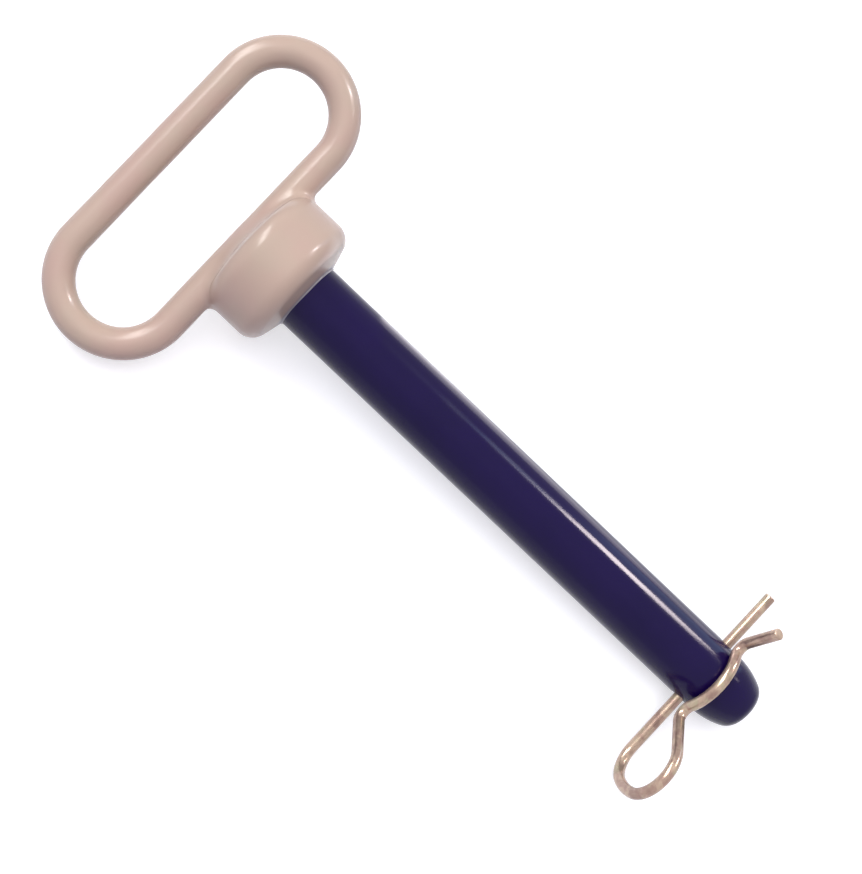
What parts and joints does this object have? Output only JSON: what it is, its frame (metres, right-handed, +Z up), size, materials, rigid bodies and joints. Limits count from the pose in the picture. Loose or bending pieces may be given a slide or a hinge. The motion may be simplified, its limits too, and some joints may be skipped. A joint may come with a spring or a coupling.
{
  "type": "hitch pin",
  "caption": "Round steel hitch pin with a collar head, a dipped ring handle and a spring hairpin clip through its cross hole.",
  "frame": {"origin": "on the shank's axis, where the shank leaves the underside of the head", "axes": "+X along the shank to its tip, +Z up as the pin lies at rest, +Y to the side of the clip's free end"},
  "size_m": [0.2525, 0.1124, 0.0472],
  "materials": {
    "navy_paint": "gloss",
    "bare_steel": "satin",
    "dipped_vinyl": "satin gloss",
    "yellow_zinc_wire": "bright, pale gold"
  },
  "bodies": {
    "pin_and_handle": {"pin": "navy_paint", "handle_rod": "bare_steel", "grip_coating": "dipped_vinyl"},
    "clip": {"hairpin_clip": "yellow_zinc_wire"}
  },
  "joints": [
    {"name": "clip_pull", "type": "slide", "parent": "pin_and_handle", "child": "clip", "axis": [0, -0.9555, -0.2949], "range_m": [0, 0.06], "deforming": ["hairpin_clip"]}
  ]
}
